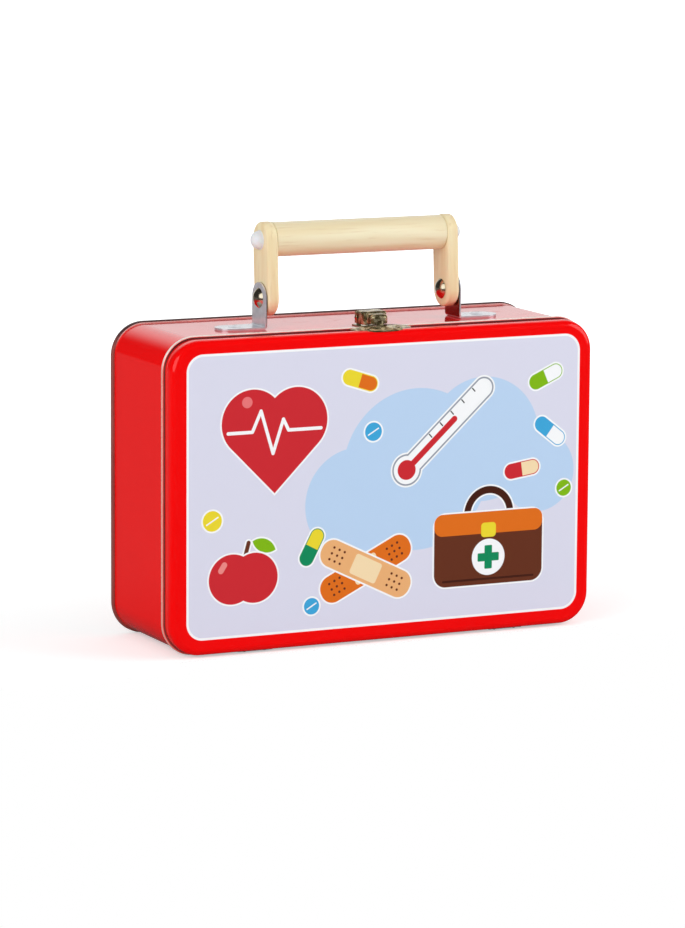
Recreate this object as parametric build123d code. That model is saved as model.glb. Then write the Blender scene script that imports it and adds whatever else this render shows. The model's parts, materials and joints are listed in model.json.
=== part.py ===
from build123d import *
from math import cos, radians, sin
import os

# A tinplate carry case: a deep tray, a shallow hinged lid with a hooded latch,
# and a wooden handle that swings on two steel brackets.
# Millimetres and degrees. X is the width, Y runs from the lid (-Y) to the back
# (+Y), Z is up. The case stands on its long lower side, and the origin is the
# middle of its footprint.

# ---------------------------------------------------------------- driving sizes

# The tin
case_width = 250.0
case_height = 168.0
lid_depth = 10.5
tray_depth = 70.0
corner_radius = 17.0
tin_sheet = 0.3
shoulder_radius = 4.0
seam_gap = 0.9
neck_length = 3.5
neck_clearance = 0.35
bead_radius = 1.2
rim_width = 3.0
rim_fold = 0.6
rim_rounding = 0.4
back_recess = 2.2

# Hinges, in the bead along the lower side
hinge_inset = 50.0
loop_width = 20.0
loop_sheet = 0.35
loop_running_fit = 0.06
loop_slot_clearance = 0.25
hinge_pin_radius = 0.75
hinge_pin_length = 34.0
hinge_rivet_pitch = 12.0

# Small rivets through the lid's band
band_rivet_radius = 0.7
band_rivet_head_radius = 1.25
band_rivet_head_height = 0.5
band_rivet_tail_height = 0.4

# Latch, on the middle of the upper side
latch_x = 0.0
hood_width = 14.0
hood_depth = 12.0
hood_top = 8.5
hood_underside = 1.55
hood_sheet = 0.6
hood_rounding = 1.3
nose_width = 10.5
nose_depth = 7.0
nose_drop = 0.9
nose_underside = 2.6
nose_rounding = 4.0
nose_over_seam = 2.45
latch_pin_radius = 0.9
latch_pin_height = 4.5
latch_pin_setback = 2.8
latch_pin_head_radius = 1.5
latch_pin_head_height = 0.5
latch_running_fit = 0.05
latch_side_gap = 0.3
latch_plate_sheet = 0.6
latch_plate_width = 15.6
latch_plate_overhang = 0.8
latch_plate_inset = 0.45
latch_swing_clearance = 0.3
tail_opening = 2.2
ear_length = 4.6
ear_rounding = 1.6
latch_rivet_radius = 1.2
latch_rivet_head_radius = 2.1
latch_rivet_head_height = 0.9
latch_rivet_tail_height = 0.8
latch_rivet_pitch = 7.5
strike_width = 36.0
strike_front_margin = 1.0
strike_sheet = 0.6
strike_crown = 1.6
strike_slope = 15.0
strike_seat_radius = 1.6
strike_rivet_pitch = 18.0
nib_width = 4.0
nib_height = 3.3
nib_clearance = 0.3

# Handle and its brackets
handle_y = -3.0
handle_lean = 3.7
pivot_height = 16.0
handle_reach = 30.9
grip_diameter = 18.6
grip_length = 101.2
arm_width = 19.5
arm_thickness = 6.5
arm_rounding = 1.3
screw_radius = 1.75
screw_depth = 16.0
screw_head_radius = 2.7
screw_head_height = 1.6
cap_radius = 5.3
cap_height = 5.2
cap_head_clearance = 0.1
bracket_sheet = 1.2
bracket_width = 16.8
bracket_gap = 0.3
bracket_bend_radius = 0.8
bracket_foot_length = 26.2
pivot_rivet_radius = 2.5
pivot_head_radius = 5.5
pivot_head_height = 2.8
pivot_running_fit = 0.05
foot_rivet_setback = 11.0
foot_rivet_radius = 1.6
foot_rivet_head_radius = 4.0
foot_rivet_head_height = 1.1
foot_rivet_dimple_radius = 1.3
foot_rivet_dimple_depth = 0.6
foot_rivet_tail_radius = 2.6
foot_rivet_tail_height = 2.0

# ------------------------------------------------------- places worked out once

total_depth = lid_depth + tray_depth
front_y = -total_depth / 2
rear_y = total_depth / 2
bead_y = front_y + lid_depth + bead_radius
lid_edge_y = front_y + lid_depth - seam_gap
neck_front_y = front_y + lid_depth - neck_length
wall_end_y = rear_y - rim_fold

rim_proud = bead_radius
bottom_z = bead_radius
centre_z = bottom_z + case_height / 2
top_z = bottom_z + case_height

band_rivet_y = (front_y + shoulder_radius + neck_front_y) / 2

hinge_x = case_width / 2 - hinge_inset
loop_inner_radius = hinge_pin_radius + loop_running_fit
loop_outer_radius = loop_inner_radius + loop_sheet

nose_front_y = front_y + lid_depth - nose_over_seam
hood_front_y = nose_front_y + nose_depth
hood_rear_y = hood_front_y + hood_depth
latch_pin_y = hood_rear_y - latch_pin_setback
latch_pin_z = top_z + latch_pin_height
ear_outer_x = hood_width / 2 - hood_sheet - latch_side_gap
plate_front_y = bead_y + bead_radius + latch_plate_inset
plate_rear_y = hood_rear_y + latch_plate_overhang
nib_front_y = nose_front_y + hood_sheet + nib_clearance

pivot_z = top_z + pivot_height
grip_z = pivot_z + handle_reach
arm_inner_x = grip_length / 2
arm_outer_x = arm_inner_x + arm_thickness
tab_inner_x = arm_outer_x + bracket_gap
tab_outer_x = tab_inner_x + bracket_sheet
foot_end_x = tab_inner_x + bracket_foot_length
foot_rivet_x = foot_end_x - foot_rivet_setback
pivot_tail_x = arm_inner_x - bracket_gap

X_AXIS = (1, 0, 0)
Y_AXIS = (0, 1, 0)
Z_AXIS = (0, 0, 1)
DOWN = (0, 0, -1)
SIDES = (-1, 1)
CUT_MARGIN = 1.0

# ------------------------------------------------------------------ plain shapes


def at(point, direction):
    """The place of a shape whose own Z axis starts at a point, along a direction."""
    return Plane(origin=point, z_dir=direction).location


def rod(radius, point, direction, length):
    """A round bar that starts at a point."""
    bar = Cylinder(radius, length, align=(Align.CENTER, Align.CENTER, Align.MIN))
    return at(point, direction) * bar


def dome(radius, height, point, direction):
    """A domed head whose flat side is centred on a point."""
    ball_radius = (radius**2 + height**2) / (2 * height)
    ball = Pos(0, 0, height - ball_radius) * Sphere(ball_radius)
    width = 2 * ball_radius
    upper = Box(width, width, height, align=(Align.CENTER, Align.CENTER, Align.MIN))
    return at(point, direction) * (ball & upper)


def block(x_span, y_span, z_span):
    """A box between three pairs of limits."""
    spans = (x_span, y_span, z_span)
    middle = tuple((low + high) / 2 for low, high in spans)
    sizes = tuple(high - low for low, high in spans)
    return Location(middle) * Box(*sizes)


def rivet(point, outward, grip, radius, head_radius, head_height, tail_radius, tail_height):
    """A rivet whose head sits on a face at a point, with its tail beyond the grip."""
    inward = tuple(-component for component in outward)
    head = dome(head_radius, head_height, point, outward)
    shank = rod(radius, point, inward, grip + tail_height)
    tail_start = tuple(p + grip * i for p, i in zip(point, inward))
    return head + shank + rod(tail_radius, tail_start, inward, tail_height)


def slab(y_from, y_to, grow=0.0):
    """A block with the case's outline, grown by a thickness, between two depths."""
    outline = RectangleRounded(
        case_width + 2 * grow, case_height + 2 * grow, corner_radius + grow
    )
    plane = Plane(origin=(0, y_from, centre_z), x_dir=X_AXIS, z_dir=Y_AXIS)
    return extrude(plane * outline, y_to - y_from)


def ring(y_from, y_to, outer, inner):
    """A wall that follows the case's outline between two growths of it."""
    return slab(y_from, y_to, outer) - slab(y_from, y_to, inner)


def lid_form(grow, y_to):
    """The lid's rounded form as a full block, grown by a thickness."""
    form = slab(front_y - grow, y_to, grow)
    return fillet(form.edges().group_by(Axis.Y)[0], shoulder_radius + grow)


# ----------------------------------------------------------------------- the tray


def hinge_middles():
    return [side * hinge_x for side in SIDES]


def foot_rivet_points():
    """Where the brackets' rivets pass through the tray's top."""
    return [(side * foot_rivet_x, handle_y, top_z) for side in SIDES]


def latch_rivet_points():
    """Where the latch plate's rivets pass through the tray's top."""
    middle_y = (plate_front_y + plate_rear_y) / 2
    return [(latch_x, middle_y + side * latch_rivet_pitch / 2, top_z) for side in SIDES]


def case_wall():
    """The tray's band with its rolled bead and the neck that the lid goes over."""
    wall = ring(bead_y, wall_end_y, 0, -tin_sheet)
    neck_growth = -(tin_sheet + neck_clearance)
    neck = ring(neck_front_y, bead_y, neck_growth, neck_growth - tin_sheet)
    bead_plane = Plane(origin=(0, bead_y, centre_z), x_dir=X_AXIS, z_dir=Y_AXIS)
    bead_outline = bead_plane * RectangleRounded(case_width, case_height, corner_radius)
    bead_path = bead_outline.face().outer_wire()
    section = at(bead_path @ 0, bead_path % 0) * Circle(bead_radius)
    wall += neck + sweep(section, path=bead_path)
    slot_radius = loop_outer_radius + loop_slot_clearance
    slot_width = loop_width + 2 * loop_slot_clearance
    for x in hinge_middles():
        wall -= rod(slot_radius, (x - slot_width / 2, bead_y, bottom_z), X_AXIS, slot_width)
        wall -= rod(
            hinge_pin_radius,
            (x - hinge_pin_length / 2, bead_y, bottom_z),
            X_AXIS,
            hinge_pin_length,
        )
    for point in foot_rivet_points():
        wall -= rod(foot_rivet_radius, point, DOWN, tin_sheet + CUT_MARGIN)
    for point in latch_rivet_points():
        wall -= rod(latch_rivet_radius, point, DOWN, tin_sheet + CUT_MARGIN)
    return wall


def back_panel():
    """The recessed back sheet with the rim that is folded round the tray's wall."""
    inner_growth = -(tin_sheet + rim_fold)
    rim = ring(rear_y - rim_width, rear_y, rim_proud, inner_growth)
    outer_edges = [
        edge
        for face in (rim.faces().sort_by(Axis.Y)[0], rim.faces().sort_by(Axis.Y)[-1])
        for edge in face.outer_wire().edges()
    ]
    rim = fillet(outer_edges, rim_rounding)
    rim -= ring(rear_y - rim_width - CUT_MARGIN, wall_end_y, 0, -tin_sheet)
    sheet_rear_y = rear_y - back_recess
    return rim + slab(sheet_rear_y - tin_sheet, sheet_rear_y, inner_growth)


def hinge_pin(side):
    """The steel pin that is rolled into the bead and crosses the loop's slot."""
    x = side * hinge_x
    start = (x - hinge_pin_length / 2, bead_y, bottom_z)
    return rod(hinge_pin_radius, start, X_AXIS, hinge_pin_length)


# ------------------------------------------------------------------------ the lid


def strike_rivet_points():
    z = top_z + strike_sheet
    return [(latch_x + side * strike_rivet_pitch / 2, band_rivet_y, z) for side in SIDES]


def hinge_rivet_points():
    z = bottom_z - loop_sheet
    return [
        (x + side * hinge_rivet_pitch / 2, band_rivet_y, z)
        for x in hinge_middles()
        for side in SIDES
    ]


def band_rivet(point, outward, grip):
    return rivet(
        point,
        outward,
        grip,
        band_rivet_radius,
        band_rivet_head_radius,
        band_rivet_head_height,
        band_rivet_head_radius,
        band_rivet_tail_height,
    )


def lid_shell():
    """The stamped lid: a flat front, a rounded shoulder and a short skirt."""
    shell = lid_form(0, lid_edge_y) - lid_form(-tin_sheet, lid_edge_y + CUT_MARGIN)
    drill = strike_sheet + tin_sheet + CUT_MARGIN
    for point in strike_rivet_points():
        shell -= rod(band_rivet_radius, point, DOWN, drill)
    for point in hinge_rivet_points():
        shell -= rod(band_rivet_radius, point, Z_AXIS, drill)
    return shell


def strike_crest(drop):
    """A wide rod under the strike's crest line, which falls towards the lid's front."""
    half = strike_width / 2
    radius = (half**2 + strike_crown**2) / (2 * strike_crown)
    slope = radians(strike_slope)
    forward = Vector(0, -cos(slope), -sin(slope))
    outward = Vector(0, -sin(slope), cos(slope))
    crest = Vector(latch_x, lid_edge_y, top_z + strike_sheet + strike_crown)
    start = crest - outward * radius - forward * lid_depth
    return rod(radius - drop, tuple(start), tuple(forward), 3 * lid_depth)


def strike_plate():
    """The domed half-oval leaf on the lid's band, with the nib that the hood closes over."""
    depth = lid_edge_y - front_y - strike_front_margin
    oval = Ellipse(strike_width / 2, depth) & Rectangle(
        strike_width, depth, align=(Align.CENTER, Align.MAX)
    )
    column = extrude(Plane(origin=(latch_x, lid_edge_y, centre_z)) * oval, case_height)
    plate = column & (strike_crest(0) - strike_crest(strike_sheet))
    for point in strike_rivet_points():
        plate -= rod(strike_seat_radius, point, Z_AXIS, strike_crown + strike_sheet)
        plate += rod(strike_seat_radius, point, DOWN, strike_sheet)
    plate -= lid_form(0, lid_edge_y)
    plate += block(
        (latch_x - nib_width / 2, latch_x + nib_width / 2),
        (nib_front_y, lid_edge_y),
        (top_z, top_z + strike_sheet + nib_height),
    )
    for point in strike_rivet_points():
        plate -= rod(band_rivet_radius, point, DOWN, strike_sheet + CUT_MARGIN)
    return plate


def strike_rivets():
    grip = strike_sheet + tin_sheet
    return Part() + [band_rivet(point, Z_AXIS, grip) for point in strike_rivet_points()]


def hinge_rivets():
    grip = loop_sheet + tin_sheet
    return Part() + [band_rivet(point, DOWN, grip) for point in hinge_rivet_points()]


def hinge_loop(side):
    """A sheet loop round the hinge pin, with a leaf under the lid's lower band."""
    x = side * hinge_x
    start = (x - loop_width / 2, bead_y, bottom_z)
    eye = rod(loop_outer_radius, start, X_AXIS, loop_width)
    leaf = block(
        (x - loop_width / 2, x + loop_width / 2),
        (front_y + shoulder_radius, bead_y),
        (bottom_z - loop_sheet, bottom_z),
    )
    loop = eye + leaf - rod(loop_inner_radius, start, X_AXIS, loop_width)
    for point in hinge_rivet_points():
        loop -= rod(band_rivet_radius, point, Z_AXIS, loop_sheet + CUT_MARGIN)
    return loop


# ---------------------------------------------------------------------- the latch


def latch_base():
    """The plate on the tray's top, with two ears that hold the latch pin."""
    base = block(
        (latch_x - latch_plate_width / 2, latch_x + latch_plate_width / 2),
        (plate_front_y, plate_rear_y),
        (top_z, top_z + latch_plate_sheet),
    )
    for side in SIDES:
        ear_x = sorted((side * ear_outer_x, side * (ear_outer_x - latch_plate_sheet)))
        base += block(
            (latch_x + ear_x[0], latch_x + ear_x[1]),
            (latch_pin_y + ear_rounding - ear_length, latch_pin_y + ear_rounding),
            (top_z, latch_pin_z),
        )
        crown = (latch_x + ear_x[0], latch_pin_y, latch_pin_z)
        base += rod(ear_rounding, crown, X_AXIS, latch_plate_sheet)
    pin_start = (latch_x - hood_width / 2, latch_pin_y, latch_pin_z)
    base -= rod(latch_pin_radius, pin_start, X_AXIS, hood_width)
    for point in latch_rivet_points():
        base -= rod(latch_rivet_radius, point, Z_AXIS, latch_plate_sheet + CUT_MARGIN)
    return base


def hood_form(shrink):
    """The latch hood's outer form, or its inside when shrunk by the sheet."""
    half_width = hood_width / 2 - shrink
    half_nose = nose_width / 2 - shrink
    floor_z = top_z + hood_underside - (CUT_MARGIN if shrink else 0)
    body = block(
        (latch_x - half_width, latch_x + half_width),
        (hood_front_y + shrink, hood_rear_y - shrink),
        (floor_z, top_z + hood_top - shrink),
    )
    body_rounding = hood_rounding - shrink
    body = fillet(body.edges().group_by(Axis.Z)[-1] + body.edges().filter_by(Axis.Z), body_rounding)
    nose_floor_z = floor_z + nose_underside - hood_underside
    nose = block(
        (latch_x - half_nose, latch_x + half_nose),
        (nose_front_y + shrink, hood_front_y + hood_depth / 2),
        (nose_floor_z, top_z + hood_top - nose_drop - shrink),
    )
    front = nose.edges().filter_by(Axis.Z).group_by(Axis.Y)[0]
    nose = fillet(front, nose_rounding - shrink)
    crown = nose.faces().sort_by(Axis.Z)[-1].edges()
    rear_edge = crown.group_by(Axis.Y)[-1]
    nose = fillet([e for e in crown if e not in rear_edge], nose_rounding / 2 - shrink)
    return body + nose


def latch_lever():
    """The hooded lever, open at its back, that turns up about the latch pin."""
    hood = hood_form(0) - hood_form(hood_sheet)
    pin_start = (latch_x - hood_width / 2, latch_pin_y, latch_pin_z)
    swing_radius = latch_pin_height - latch_plate_sheet - latch_swing_clearance
    tail = block(
        (latch_x - hood_width / 2, latch_x + hood_width / 2),
        (latch_pin_y, hood_rear_y),
        (top_z, top_z + hood_top),
    )
    hood -= tail - rod(swing_radius, pin_start, X_AXIS, hood_width)
    hood -= rod(latch_pin_radius + latch_running_fit, pin_start, X_AXIS, hood_width)
    half_opening = hood_width / 2 - hood_sheet
    hood -= block(
        (latch_x - half_opening, latch_x + half_opening),
        (latch_pin_y, hood_rear_y),
        (top_z, latch_pin_z + tail_opening),
    )
    return hood - block(
        (latch_x - nib_width / 2 - nib_clearance, latch_x + nib_width / 2 + nib_clearance),
        (nose_front_y - CUT_MARGIN, nib_front_y + hood_sheet),
        (top_z, top_z + strike_sheet + nib_height + nib_clearance),
    )


def latch_pin():
    """The pin through the hood's cheeks and the base's ears, with two flat heads."""
    half = hood_width / 2 + latch_side_gap
    pin = rod(latch_pin_radius, (latch_x - half, latch_pin_y, latch_pin_z), X_AXIS, 2 * half)
    for side in SIDES:
        end = (latch_x + side * half, latch_pin_y, latch_pin_z)
        pin += dome(latch_pin_head_radius, latch_pin_head_height, end, (side, 0, 0))
    return pin


def latch_rivets():
    rivets = [
        rivet(
            (x, y, z + latch_plate_sheet),
            Z_AXIS,
            latch_plate_sheet + tin_sheet,
            latch_rivet_radius,
            latch_rivet_head_radius,
            latch_rivet_head_height,
            latch_rivet_head_radius,
            latch_rivet_tail_height,
        )
        for x, y, z in latch_rivet_points()
    ]
    return Part() + rivets


# --------------------------------------------------------------------- the handle


def bracket(side):
    """A steel angle: a round-topped tab beside the arm and a foot on the tray's top."""
    end_radius = bracket_width / 2
    tab_top_z = pivot_z + end_radius
    corners = [
        (tab_inner_x, tab_top_z),
        (tab_inner_x, top_z),
        (foot_end_x, top_z),
        (foot_end_x, top_z + bracket_sheet),
        (tab_outer_x, top_z + bracket_sheet),
        (tab_outer_x, tab_top_z),
    ]
    profile = make_face(Polyline(*corners, close=True))
    outer = profile.vertices().sort_by_distance((tab_inner_x, top_z))[0]
    profile = fillet(outer, bracket_bend_radius + bracket_sheet)
    inner = profile.vertices().sort_by_distance((tab_outer_x, top_z + bracket_sheet))[0]
    profile = fillet(inner, bracket_bend_radius)
    plane = Plane(origin=(0, handle_y, 0), x_dir=X_AXIS, z_dir=(0, -1, 0))
    angle = extrude(plane * profile, end_radius, both=True)
    y_span = (handle_y - end_radius, handle_y + end_radius)
    tab_end = block((tab_inner_x, tab_outer_x), y_span, (pivot_z, tab_top_z))
    pivot = (tab_inner_x, handle_y, pivot_z)
    angle -= tab_end - rod(end_radius, pivot, X_AXIS, bracket_sheet)
    foot_z = (top_z, top_z + bracket_sheet)
    foot_end = block((foot_end_x - end_radius, foot_end_x), y_span, foot_z)
    foot_centre = (foot_end_x - end_radius, handle_y, top_z)
    angle -= foot_end - rod(end_radius, foot_centre, Z_AXIS, bracket_sheet)
    angle -= rod(pivot_rivet_radius, pivot, X_AXIS, bracket_sheet)
    rivet_point = (foot_rivet_x, handle_y, top_z)
    angle -= rod(foot_rivet_radius, rivet_point, Z_AXIS, bracket_sheet)
    return angle if side > 0 else mirror(angle, Plane.YZ)


def bracket_rivets():
    """One wide blind rivet through each bracket's foot."""
    rivets = []
    for x, y, z in foot_rivet_points():
        head_z = z + bracket_sheet
        body = rivet(
            (x, y, head_z),
            Z_AXIS,
            bracket_sheet + tin_sheet,
            foot_rivet_radius,
            foot_rivet_head_radius,
            foot_rivet_head_height,
            foot_rivet_tail_radius,
            foot_rivet_tail_height,
        )
        dimple_z = head_z + foot_rivet_head_height - foot_rivet_dimple_depth
        rivets.append(
            body - rod(foot_rivet_dimple_radius, (x, y, dimple_z), Z_AXIS, foot_rivet_head_height)
        )
    return Part() + rivets


def pivot_rivet(side):
    """The rivet that an arm turns on, with a domed head outside and inside."""
    length = tab_outer_x - pivot_tail_x
    shank = rod(pivot_rivet_radius, (side * tab_outer_x, handle_y, pivot_z), (-side, 0, 0), length)
    outer_end = (side * tab_outer_x, handle_y, pivot_z)
    inner_end = (side * pivot_tail_x, handle_y, pivot_z)
    outer_head = dome(pivot_head_radius, pivot_head_height, outer_end, (side, 0, 0))
    inner_head = dome(pivot_head_radius, pivot_head_height, inner_end, (-side, 0, 0))
    return shank + outer_head + inner_head


def leaned(shape):
    """A part of the handle, turned back about the pivots to where it stands."""
    pivots = Axis((0, handle_y, pivot_z), X_AXIS)
    return shape.rotate(pivots, -handle_lean)


def handle_arm(side):
    """A flat wooden arm with round ends, between the grip and a bracket."""
    plane = Plane(origin=(side * arm_inner_x, handle_y, pivot_z), x_dir=Y_AXIS, z_dir=(side, 0, 0))
    up = 1 if side > 0 else -1
    outline = Circle(arm_width / 2) + Pos(0, up * handle_reach) * Circle(arm_width / 2)
    outline += Pos(0, up * handle_reach / 2) * Rectangle(arm_width, handle_reach)
    arm = extrude(plane * outline, arm_thickness)
    arm = fillet(arm.edges().group_by(Axis.X)[0] + arm.edges().group_by(Axis.X)[-1], arm_rounding)
    pivot = (side * arm_inner_x, handle_y, pivot_z)
    arm -= rod(pivot_rivet_radius + pivot_running_fit, pivot, (side, 0, 0), arm_thickness)
    screw = (side * arm_inner_x, handle_y, grip_z)
    arm -= rod(screw_radius, screw, (side, 0, 0), arm_thickness)
    return leaned(arm)


def grip():
    """The turned wooden bar between the arms, bored at each end for a screw."""
    bar = rod(grip_diameter / 2, (-arm_inner_x, handle_y, grip_z), X_AXIS, grip_length)
    for side in SIDES:
        mouth = (side * arm_inner_x, handle_y, grip_z)
        bar -= rod(screw_radius, mouth, (-side, 0, 0), screw_depth)
    return leaned(bar)


def grip_screw(side):
    """The screw that holds the grip to an arm."""
    seat = (side * arm_outer_x, handle_y, grip_z)
    shank = rod(screw_radius, seat, (-side, 0, 0), arm_thickness + screw_depth)
    head = rod(screw_head_radius, seat, (side, 0, 0), screw_head_height)
    return leaned(shank + head)


def screw_cap(side):
    """The white plastic dome pressed over a screw's head."""
    seat = (side * arm_outer_x, handle_y, grip_z)
    cap = dome(cap_radius, cap_height, seat, (side, 0, 0))
    cavity_radius = screw_head_radius + cap_head_clearance
    cavity_depth = screw_head_height + cap_head_clearance
    return leaned(cap - rod(cavity_radius, seat, (side, 0, 0), cavity_depth))


# ---------------------------------------------------------------------- write out

nodes = {
    "case_wall": case_wall(),
    "back_panel": back_panel(),
    "bracket_rivets": bracket_rivets(),
    "latch_base": latch_base(),
    "latch_pin": latch_pin(),
    "latch_rivets": latch_rivets(),
    "lid_shell": lid_shell(),
    "strike_plate": strike_plate(),
    "strike_rivets": strike_rivets(),
    "hinge_rivets": hinge_rivets(),
    "latch_lever": latch_lever(),
    "handle_grip": grip(),
}
for hand, side in (("left", -1), ("right", 1)):
    nodes[f"hinge_pin_{hand}"] = hinge_pin(side)
    nodes[f"hinge_loop_{hand}"] = hinge_loop(side)
    nodes[f"bracket_{hand}"] = bracket(side)
    nodes[f"pivot_rivet_{hand}"] = pivot_rivet(side)
    nodes[f"handle_arm_{hand}"] = handle_arm(side)
    nodes[f"grip_screw_{hand}"] = grip_screw(side)
    nodes[f"screw_cap_{hand}"] = screw_cap(side)

os.makedirs("parts", exist_ok=True)
for name, shape in nodes.items():
    export_step(shape, f"parts/{name}.step")
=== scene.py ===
import json
import math

import bmesh
import bpy
from mathutils import Matrix, Vector


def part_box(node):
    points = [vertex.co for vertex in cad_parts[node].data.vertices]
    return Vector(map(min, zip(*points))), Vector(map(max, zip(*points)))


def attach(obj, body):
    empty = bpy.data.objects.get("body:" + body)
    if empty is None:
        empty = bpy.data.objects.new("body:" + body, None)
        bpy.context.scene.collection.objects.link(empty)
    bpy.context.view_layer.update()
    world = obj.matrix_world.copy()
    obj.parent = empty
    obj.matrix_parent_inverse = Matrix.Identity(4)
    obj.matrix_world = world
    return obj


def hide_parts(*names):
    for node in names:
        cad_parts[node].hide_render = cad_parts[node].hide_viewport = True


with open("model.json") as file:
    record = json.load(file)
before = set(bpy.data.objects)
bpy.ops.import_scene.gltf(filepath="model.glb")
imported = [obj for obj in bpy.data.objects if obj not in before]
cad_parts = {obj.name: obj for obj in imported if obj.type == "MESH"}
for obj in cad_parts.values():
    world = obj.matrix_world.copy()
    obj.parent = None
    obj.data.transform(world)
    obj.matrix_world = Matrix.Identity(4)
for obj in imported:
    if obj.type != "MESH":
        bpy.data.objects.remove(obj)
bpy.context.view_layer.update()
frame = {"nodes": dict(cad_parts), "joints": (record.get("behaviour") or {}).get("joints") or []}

# ---- Sizes
# Everything is worked out in metres, from the frame and from real sizes in mm.

MM = 0.001

# The tin, read from the frame
LID_LOW, LID_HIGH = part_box("lid_shell")
WALL_LOW, WALL_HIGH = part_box("case_wall")
RIM_LOW, RIM_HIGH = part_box("back_panel")
CASE_WIDTH = LID_HIGH.x - LID_LOW.x
CASE_HEIGHT = LID_HIGH.z - LID_LOW.z
CENTRE_Z = (LID_HIGH.z + LID_LOW.z) / 2
BOTTOM_Z = LID_LOW.z
TOP_Z = LID_HIGH.z
FRONT_Y = LID_LOW.y
LID_EDGE_Y = LID_HIGH.y
NECK_FRONT_Y = WALL_LOW.y
WALL_END_Y = WALL_HIGH.y
RIM_FRONT_Y = RIM_LOW.y
REAR_Y = RIM_HIGH.y
RIM_PROUD = BOTTOM_Z - RIM_LOW.z

# The tin, sizes that the frame's boxes don't give
CORNER_RADIUS = 17 * MM
TIN_SHEET = 0.3 * MM
SHOULDER_RADIUS = 4 * MM
BEAD_RADIUS = 1.2 * MM
NECK_CLEARANCE = 0.35 * MM
RIM_FOLD = 0.6 * MM
BACK_RECESS = 2.2 * MM
SLOT_GAP = 0.25 * MM
HEM_INSET = 0.16 * MM
# The share of the rim's front face that is its root, painted pale along the top as painted light
ROOT_SHARE = 0.45
# The step up to the back sheet's raised field: heights and distances in, in mm
BACK_FIELD = [(0, 9), (0.5, 10.6), (0.55, 11.2)]

# Steps that curves are cut into. The bead's first few get the seam's painted shade.
CORNER_STEPS = 20
BEAD_STEPS = 16
BEAD_INNER_STEPS = 10
PAINTED_SHADE_STEPS = 5
EDGE_STEPS = 4
SHOULDER_STEPS = 14
SHOULDER_INNER_STEPS = 10
ARM_END_STEPS = 28
CAP_STEPS = 12
STRIP_END_STEPS = 12
STRIP_BEND_STEPS = 8
STRIP_ROWS = 8
HEAD_STEPS = 14
BAR_SEGMENTS = 64
CAP_SEGMENTS = 40
HEAD_SEGMENTS = 36

# Points this close become one, and lengths this close are the same
WELD = 1e-6

# Places of the joints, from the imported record
JOINTS = {joint["name"]: Vector(joint["pos_m"]) for joint in frame["joints"]}
LID_AXIS = JOINTS["lid_hinge"]
PIVOT = JOINTS["handle_swing"]
BEAD_Y = LID_AXIS.y

# The handle and its brackets
HANDLE_LEAN = math.radians(3.7)
HANDLE_REACH = 30.9 * MM
GRIP_RADIUS = 9.3 * MM
GRIP_EDGE = 0.35 * MM
ARM_WIDTH = 19.5 * MM
ARM_ROUNDING = 1.5 * MM
CAP_LIP = 0.35 * MM
BRACKET_BEND = 0.8 * MM
BRACKET_SHEET = 1.2 * MM
BRACKET_EDGE = 0.22 * MM
TAB_INNER_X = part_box("bracket_right")[0].x
PIVOT_HEAD_RADIUS = 5.5 * MM
PIVOT_HEAD_HEIGHT = 2.8 * MM
FOOT_HEAD_HEIGHT = 1.1 * MM
FOOT_HOLE_RADIUS = 1.3 * MM
FOOT_TAIL_RADIUS = 2.6 * MM
FOOT_TAIL_HEIGHT = 2.0 * MM
# A blind rivet's hollow middle: shares of its radius, and depths in mm
HOLLOW = [(1.0, 0), (0.8, 0.4), (0.0, 0.55)]

SIDES = {"left": -1, "right": 1}


# ---- Mesh makers


def new_piece(name, mesh_maker, *materials):
    """An object at the origin whose mesh a function fills in."""
    mesh = bpy.data.meshes.new(name)
    for material in materials:
        mesh.materials.append(material)
    piece = bpy.data.objects.new(name, mesh)
    bpy.context.scene.collection.objects.link(piece)
    made = bmesh.new()
    mesh_maker(made)
    made.to_mesh(mesh)
    made.free()
    return piece


def smooth_up_to(piece, degrees=35):
    """Smooth shading everywhere but on edges sharper than an angle."""
    mesh = piece.data
    mesh.polygons.foreach_set("use_smooth", [True] * len(mesh.polygons))
    mesh.set_sharp_from_angle(angle=math.radians(degrees))
    mesh.update()


def settle(piece):
    """Makes the modifiers' result the piece's own plain mesh."""
    shown = piece.evaluated_get(bpy.context.evaluated_depsgraph_get())
    mesh = bpy.data.meshes.new_from_object(shown)
    old = piece.data
    piece.modifiers.clear()
    piece.data = mesh
    mesh.name = piece.name
    bpy.data.meshes.remove(old)


def modify(piece, kind, **settings):
    modifier = piece.modifiers.new(kind.title(), kind)
    for name, value in settings.items():
        setattr(modifier, name, value)


def ease_edges(piece, width, segments):
    """Rounds the edges sharper than 50 degrees."""
    sharp = math.radians(50)
    modify(piece, "BEVEL", width=width, segments=segments, limit_method="ANGLE", angle_limit=sharp)


def dress(piece, body, nodes):
    """Gives a finished piece its body and the nodes it stands for."""
    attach(piece, body)
    if nodes:
        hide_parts(*nodes)


def join_rings(made, near, far, index=0):
    """Faces of one material between two closed rings of as many points."""
    for j in range(len(near)):
        k = (j + 1) % len(near)
        made.faces.new((near[j], near[k], far[k], far[j])).material_index = index


def outline(grow):
    """Points (x, z) round the case's rounded outline, grown by a thickness."""
    radius = CORNER_RADIUS + grow
    across = CASE_WIDTH / 2 + grow - radius
    upright = CASE_HEIGHT / 2 + grow - radius
    points = []
    for quarter, (sx, sz) in enumerate(((1, 1), (-1, 1), (-1, -1), (1, -1))):
        for step in range(CORNER_STEPS + 1):
            turn = math.pi / 2 * (quarter + step / CORNER_STEPS)
            x = sx * across + radius * math.cos(turn)
            points.append((x, CENTRE_Z + sz * upright + radius * math.sin(turn)))
    return points


def rings_round_case(made, profile):
    """A ring of points round the case for each (depth, growth) point of a profile."""
    return [[made.verts.new((x, depth, z)) for x, z in outline(growth)] for depth, growth in profile]


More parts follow.
